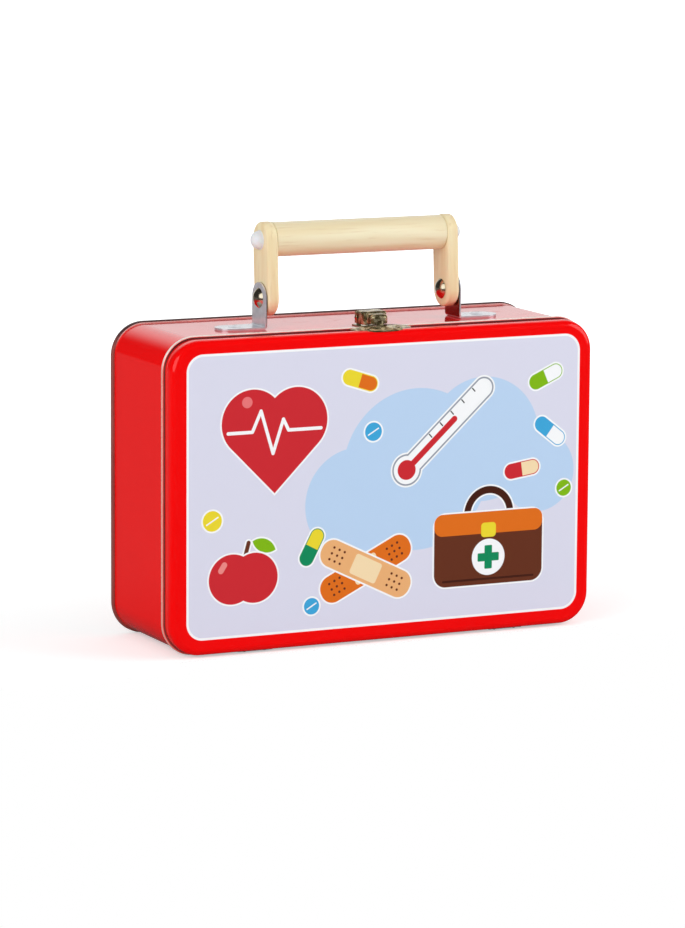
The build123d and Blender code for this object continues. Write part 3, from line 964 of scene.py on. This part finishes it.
def domed_cap(side):
    """The white dome over the grip's screw, with a small flat lip."""
    low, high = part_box(f"screw_cap_{side}")
    sign = SIDES[side]
    radius = (high.z - low.z) / 2
    height = high.x - low.x
    base_x = low.x if sign > 0 else high.x
    rise = height - CAP_LIP
    ball = ((radius - CAP_LIP) ** 2 + rise**2) / (2 * rise)
    spread = math.asin((radius - CAP_LIP) / ball)
    profile = [(0, radius * 0.98), (CAP_LIP * 0.5, radius), (CAP_LIP, radius * 0.97)]
    for i in range(CAP_STEPS):
        turn = spread * (1 - i / (CAP_STEPS - 0.5))
        profile.append((CAP_LIP + ball * math.cos(turn) - (ball - rise), ball * math.sin(turn)))
    profile = [(sign * along, r) for along, r in profile]
    start = Vector((base_x, PIVOT.y, PIVOT.z + HANDLE_REACH))
    cap = leaned(new_piece(f"domed_cap_{side}", turned_bar(profile, start, CAP_SEGMENTS), WHITE_PLASTIC))
    smooth_up_to(cap, 50)
    dress(cap, "handle", [f"screw_cap_{side}"])


def bracket_strip(side):
    """A bent strip with round ends: a tab up beside the arm and a foot outboard."""
    low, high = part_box(f"bracket_{side}")
    sign = SIDES[side]
    inner_x = low.x if sign > 0 else -high.x
    foot_x = high.x if sign > 0 else -low.x
    half = (high.y - low.y) / 2
    middle_y = (high.y + low.y) / 2
    bend = BRACKET_BEND + BRACKET_SHEET
    quarter = bend * math.pi / 2
    rise = high.z - low.z - bend
    foot = foot_x - inner_x - bend
    total = rise + quarter + foot

    def on_strip(s):
        """The x and z of the strip's convex face, a length s down from the tab's top."""
        if s < rise:
            return inner_x, high.z - s
        if s < rise + quarter:
            turn = (s - rise) / bend
            return inner_x + bend - bend * math.cos(turn), low.z + bend - bend * math.sin(turn)
        return inner_x + bend + (s - rise - quarter), low.z

    def half_width(s):
        reach = min(s, total - s)
        return math.sqrt(max(half**2 - (half - reach) ** 2, 0)) if reach < half else half

    turns = [math.pi / 2 * i / STRIP_END_STEPS for i in range(STRIP_END_STEPS + 1)]
    ends = [half * (1 - math.cos(turn)) for turn in turns]
    bends = [rise + quarter * i / STRIP_BEND_STEPS for i in range(STRIP_BEND_STEPS + 1)]
    stations = ends + bends + [total - s for s in reversed(ends)]

    def fill(made):
        rows = []
        for s in stations:
            x, z = on_strip(s)
            row = []
            for i in range(STRIP_ROWS + 1):
                y = middle_y + half_width(s) * (2 * i / STRIP_ROWS - 1)
                row.append(made.verts.new((sign * x, y, z)))
            rows.append(row)
        for near, far in zip(rows, rows[1:]):
            for i in range(STRIP_ROWS):
                made.faces.new((near[i], near[i + 1], far[i + 1], far[i]))
        bmesh.ops.remove_doubles(made, verts=made.verts, dist=WELD)
        bmesh.ops.recalc_face_normals(made, faces=made.faces)
        face = max(made.faces, key=lambda f: abs(f.normal.z) * f.calc_area())
        if face.normal.z > 0:
            bmesh.ops.reverse_faces(made, faces=made.faces)

    strip = new_piece(f"bracket_strip_{side}", fill, NICKEL)
    modify(strip, "SOLIDIFY", thickness=BRACKET_SHEET, offset=-1.0)
    ease_edges(strip, BRACKET_EDGE, 3)
    settle(strip)
    smooth_up_to(strip, 40)
    dress(strip, "case", [f"bracket_{side}"])


# ---- The rivets


def head_mesh(name, radius, height, hole=0.0):
    """A domed head that points up, hollow where a hole's radius is given."""
    ball = (radius**2 + height**2) / (2 * height)
    spread = math.asin(radius / ball)
    profile = []
    for i in range(HEAD_STEPS + 1):
        turn = spread * (1 - i / HEAD_STEPS)
        profile.append((ball * math.sin(turn), height - ball + ball * math.cos(turn)))
    if hole:
        profile = [(r, z) for r, z in profile if r > hole]
        rim = profile[-1][1]
        profile += [(hole * share, rim - depth * MM) for share, depth in HOLLOW]

    def fill(made):
        turns = [2 * math.pi * j / HEAD_SEGMENTS for j in range(HEAD_SEGMENTS)]
        rings = []
        for r, z in profile:
            rings.append([made.verts.new((r * math.cos(t), r * math.sin(t), z)) for t in turns])
        for near, far in zip(rings, rings[1:]):
            join_rings(made, near, far)
        made.faces.new(rings[0])
        bmesh.ops.remove_doubles(made, verts=made.verts, dist=WELD)
        bmesh.ops.recalc_face_normals(made, faces=made.faces)

    return new_piece(name, fill)


def scatter_tree(material):
    """A tree that sets a head on every point, turned to the point's own direction."""
    tree = bpy.data.node_groups.new("set_heads", "GeometryNodeTree")
    face = tree.interface
    face.new_socket("Points", in_out="INPUT", socket_type="NodeSocketGeometry")
    head_input = face.new_socket("Head", in_out="INPUT", socket_type="NodeSocketObject")
    face.new_socket("Rivets", in_out="OUTPUT", socket_type="NodeSocketGeometry")
    graph = Graph(tree)
    start = graph.node("NodeGroupInput", {}, {})
    points, shape = [Signal(graph, start.outputs[name]) for name in ("Points", "Head")]
    model = graph.read("GeometryNodeObjectInfo", {}, {"Object": shape}, "Geometry")
    stored = {"data_type": "FLOAT_VECTOR"}
    outward = graph.read("GeometryNodeInputNamedAttribute", stored, {"Name": "outward"}, "Attribute")
    turn = graph.read("FunctionNodeAlignRotationToVector", {"axis": "Z"}, {"Vector": outward})
    inputs = {"Points": points, "Instance": model, "Rotation": turn}
    spread = graph.read("GeometryNodeInstanceOnPoints", {}, inputs)
    real = graph.read("GeometryNodeRealizeInstances", {}, {"Geometry": spread})
    painted = graph.read("GeometryNodeSetMaterial", {}, {"Geometry": real, "Material": material})
    graph.node("NodeGroupOutput", {}, {"Rivets": painted})
    return tree, head_input.identifier


def heads_at(name, places, head, material, nodes):
    """Rivet heads at (point, outward) places, as one plain mesh."""
    piece = new_piece(name, lambda made: [made.verts.new(point) for point, _ in places])
    outward = piece.data.attributes.new("outward", "FLOAT_VECTOR", "POINT")
    for item, (_, direction) in zip(outward.data, places):
        item.vector = direction
    tree, head_id = scatter_tree(material)
    modifier = piece.modifiers.new("Heads", "NODES")
    modifier.node_group = tree
    modifier[head_id] = head
    settle(piece)
    bpy.data.objects.remove(head)
    smooth_up_to(piece, 50)
    dress(piece, "case", nodes)


UP = (0, 0, 1)
DOWN = (0, 0, -1)


def pivot_heads():
    """The big polished heads of the rivets that the arms turn on."""
    places = []
    for side, sign in SIDES.items():
        low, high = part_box(f"pivot_rivet_{side}")
        outer_x, inner_x = (high.x, low.x) if sign > 0 else (low.x, high.x)
        places.append(((outer_x - sign * PIVOT_HEAD_HEIGHT, PIVOT.y, PIVOT.z), (sign, 0, 0)))
        places.append(((inner_x + sign * PIVOT_HEAD_HEIGHT, PIVOT.y, PIVOT.z), (-sign, 0, 0)))
    head = head_mesh("pivot_head", PIVOT_HEAD_RADIUS, PIVOT_HEAD_HEIGHT)
    nodes = ["pivot_rivet_left", "pivot_rivet_right"]
    heads_at("pivot_heads", places, head, POLISHED, nodes)


def foot_heads():
    """The wide blind rivets in the brackets' feet, and their tails inside the case."""
    low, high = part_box("bracket_rivets")
    radius = (high.y - low.y) / 2
    y = (low.y + high.y) / 2
    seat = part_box("bracket_left")[0].z + BRACKET_SHEET
    across = (low.x + radius, high.x - radius)
    places = [((x, y, seat), UP) for x in across]
    ends = [((x, y, TOP_Z - TIN_SHEET), DOWN) for x in across]
    head = head_mesh("foot_head", radius, FOOT_HEAD_HEIGHT, FOOT_HOLE_RADIUS)
    tail = head_mesh("foot_tail", FOOT_TAIL_RADIUS, FOOT_TAIL_HEIGHT)
    heads_at("foot_heads", places, head, NICKEL, ["bracket_rivets"])
    heads_at("foot_tails", ends, tail, ZINC, [])


tray_band()
back_cover()
lid_cover()
grip_bar()
for side in SIDES:
    arm_bar(side)
    domed_cap(side)
    bracket_strip(side)
pivot_heads()
foot_heads()


# ---- Pieces whose CAD shape is right


def coat(piece, material):
    piece.data.materials.clear()
    piece.data.materials.append(material)


def softened(name, node, body, material, edge):
    """A copy of a node's mesh with its sharp edges eased, standing for the node."""
    mesh = frame["nodes"][node].data.copy()
    piece = bpy.data.objects.new(name, mesh)
    bpy.context.scene.collection.objects.link(piece)
    made = bmesh.new()
    made.from_mesh(mesh)
    bmesh.ops.remove_doubles(made, verts=made.verts, dist=2 * WELD)
    bmesh.ops.dissolve_limit(made, angle_limit=math.radians(1), verts=made.verts, edges=made.edges)
    made.to_mesh(mesh)
    made.free()
    for attribute in [a.name for a in mesh.attributes if a.name.startswith("sharp")]:
        mesh.attributes.remove(mesh.attributes[attribute])
    ease_edges(piece, edge, 2)
    settle(piece)
    smooth_up_to(piece, 40)
    coat(piece, material)
    dress(piece, body, [node])


softened("latch_hood", "latch_lever", "latch", BRASS, 0.12 * MM)
softened("latch_plate", "latch_base", "case", BRASS, 0.1 * MM)
softened("strike_leaf", "strike_plate", "lid", BRASS, 0.12 * MM)
for side in SIDES:
    softened(f"loop_leaf_{side}", f"hinge_loop_{side}", "lid", ZINC, 0.06 * MM)
    coat(frame["nodes"][f"hinge_pin_{side}"], ZINC)
    coat(frame["nodes"][f"grip_screw_{side}"], ZINC)
for name in ("latch_pin", "latch_rivets", "strike_rivets", "hinge_rivets"):
    coat(frame["nodes"][name], POLISHED)


# ---- Floor, lamps, camera

# The camera
CAMERA_AT = (-1.01935, -2.09699, 0.46945)
CAMERA_YAW = math.radians(25.774)
CAMERA_PITCH = math.radians(9.215)
CAMERA_ROLL = math.radians(0.388)
CAMERA_LENS = 168.63

# The lamps' directions, and the share of white to which each lights a facing surface
LAMPS = {
    "lamp_left": ((-0.85, -0.42, 0.32), 0.57),
    "lamp_right": ((0.86, -0.45, 0.32), 0.66),
}
LAMP_SIZE = 2.0
LAMP_DISTANCE = 2.2

# The world. Spreads are of the cosine to a direction, heights of its z.
AMBIENT_LEVEL = 0.5
ROOM_LEVEL = 0.03
BACKDROP_SIDE = (0.435, 0.9)
BACKDROP_LEVEL = 0.88
BACKDROP_SPREAD = (0.74, 0.98)
BACKDROP_HEIGHTS = (0.98, 0.7)
BACKDROP_LEAST = 0.06
LAMP_FACE_LEVEL = 1.6
LAMP_FACE_SPREAD = (0.9, 0.94)
HORIZON_HEIGHTS = (-0.02, 0.0)

# Half the floor's width, in metres
FLOOR_HALF = 20.0

# The floor glows more with the distance, here in mm, and so turns white round the
# shadow. The tin mirrors it dark, less dark behind, and white on the backdrop's side.
FLOOR_COLOUR = (0.78, 0.84, 0.84, 1)
GLOW_REACH = (250, 1600)
GLOW_LEVELS = (0.46, 1.0)
MIRRORED_REACH = (-150, 250)
MIRRORED_SPREAD = (0.72, 0.98)
BEHIND_LEVEL = 0.11

# Where it turns clear, in mm: before the lid, as wide as the lid, then at any width
CLEAR_REACH = (-41, -45)
CLEAR_WIDTH = (122, 130)
ALL_CLEAR_REACH = (-42, -75)


def toward_backdrop(x, y):
    """1 in the level direction of the white backdrop, -1 in front of it."""
    length = (x * x + y * y + 1e-6).math("SQRT")
    return (x * BACKDROP_SIDE[0] + y * BACKDROP_SIDE[1]) / length


def is_ray(graph, kind):
    """1 for rays of a kind, which the staged floor and the world tell apart."""
    return graph.read("ShaderNodeLightPath", {}, {}, f"Is {kind} Ray")


def studio_floor():
    """A white floor that shows the shadow, and is clear in front, where the lid opens."""

    def fill(made):
        bmesh.ops.create_grid(made, x_segments=1, y_segments=1, size=FLOOR_HALF)

    floor = new_piece("studio_floor", fill)
    white = (1, 1, 1, 1)
    finish = Finish("floor_white", Roughness=0.9, Base_Color=FLOOR_COLOUR, Emission_Color=white)
    x, y = finish.axes()[:2]
    seen, mirrored, shading = [is_ray(finish, kind) for kind in ("Camera", "Glossy", "Shadow")]
    distance = (x * x + y * y).math("SQRT")
    finish.feed(Emission_Strength=seen * distance.ramp(*GLOW_REACH, *GLOW_LEVELS))
    behind = y.ramp(*MIRRORED_REACH, ROOM_LEVEL, BEHIND_LEVEL)
    level = behind.high(toward_backdrop(x, y).ramp(*MIRRORED_SPREAD))
    gloss = finish.node("ShaderNodeEmission", {}, {"Color": white, "Strength": level})
    clear = finish.node("ShaderNodeBsdfTransparent", {}, {})
    before_lid = y.ramp(*CLEAR_REACH) * (1 - abs(x).ramp(*CLEAR_WIDTH))
    in_front = before_lid.high(y.ramp(*ALL_CLEAR_REACH))
    links = finish.tree.links
    shown = finish.surface.outputs[0]
    for share, other in ((mirrored, gloss), (seen.high(shading) * in_front, clear)):
        mixed = finish.node("ShaderNodeMixShader", {}, {0: share})
        links.new(shown, mixed.inputs[1])
        links.new(other.outputs[0], mixed.inputs[2])
        shown = mixed.outputs[0]
    links.new(shown, finish.tree.nodes["Material Output"].inputs[0])
    floor.data.materials.append(finish.material)


def studio_world():
    """Even white light. Glossy rays see the white backdrop and the lamps' white faces."""
    world = bpy.data.worlds.new("studio")
    bpy.context.scene.world = world
    world.use_nodes = True
    room = Graph(world.node_tree)
    background = room.tree.nodes["Background"]
    background.inputs["Color"].default_value = (1, 1, 1, 1)
    x, y, z = room.split(room.read("ShaderNodeTexCoord", {}, {}, "Generated"))
    bright = toward_backdrop(x, y).ramp(*BACKDROP_SPREAD) * z.ramp(*BACKDROP_HEIGHTS, BACKDROP_LEAST)
    way = room.read("ShaderNodeCombineXYZ", {}, {0: x, 1: y, 2: z})
    for direction, _ in LAMPS.values():
        toward = way.vector("DOT_PRODUCT", tuple(Vector(direction).normalized()), output="Value")
        bright = bright.high(toward.ramp(*LAMP_FACE_SPREAD, 0.0, LAMP_FACE_LEVEL))
    mirrored = bright * (BACKDROP_LEVEL - ROOM_LEVEL) + ROOM_LEVEL
    ambient = z.ramp(*HORIZON_HEIGHTS) * AMBIENT_LEVEL
    plain = (mirrored - ambient) * is_ray(room, "Glossy") + ambient
    strength = (1 - plain) * is_ray(room, "Camera") + plain
    room.tree.links.new(strength.socket, background.inputs["Strength"])


def lamp(name, direction, share):
    """A square soft lamp that lights a facing surface with a share of white.

    Glossy surfaces don't mirror it: the world shows them a dimmer face in its place.
    """
    light = bpy.data.lights.new(name, "AREA")
    light.shape = "SQUARE"
    light.size = LAMP_SIZE
    light.energy = share * (math.pi * LAMP_DISTANCE) ** 2
    holder = bpy.data.objects.new(name, light)
    holder.visible_glossy = False
    bpy.context.scene.collection.objects.link(holder)
    aim = Vector((0, 0, CENTRE_Z))
    away = Vector(direction).normalized()
    holder.location = aim + away * LAMP_DISTANCE
    holder.rotation_euler = away.to_track_quat("Z", "Y").to_euler()


def aim_camera():
    data = bpy.data.cameras.new("view")
    data.lens = CAMERA_LENS
    data.sensor_width = 36
    data.clip_end = 100
    holder = bpy.data.objects.new("view", data)
    bpy.context.scene.collection.objects.link(holder)
    level = math.cos(CAMERA_PITCH)
    back = Vector((
        -math.sin(CAMERA_YAW) * level,
        -math.cos(CAMERA_YAW) * level,
        math.sin(CAMERA_PITCH),
    ))
    right = Vector((0, 0, 1)).cross(back).normalized()
    up = back.cross(right)
    rolled_right = right * math.cos(CAMERA_ROLL) + up * math.sin(CAMERA_ROLL)
    rolled_up = up * math.cos(CAMERA_ROLL) - right * math.sin(CAMERA_ROLL)
    turn = Matrix((rolled_right, rolled_up, back)).transposed().to_4x4()
    holder.matrix_world = Matrix.Translation(CAMERA_AT) @ turn
    bpy.context.scene.camera = holder


studio_floor()
studio_world()
for name, (direction, share) in LAMPS.items():
    lamp(name, direction, share)
aim_camera()
bpy.context.scene.view_settings.view_transform = "Standard"

bpy.context.view_layer.update()
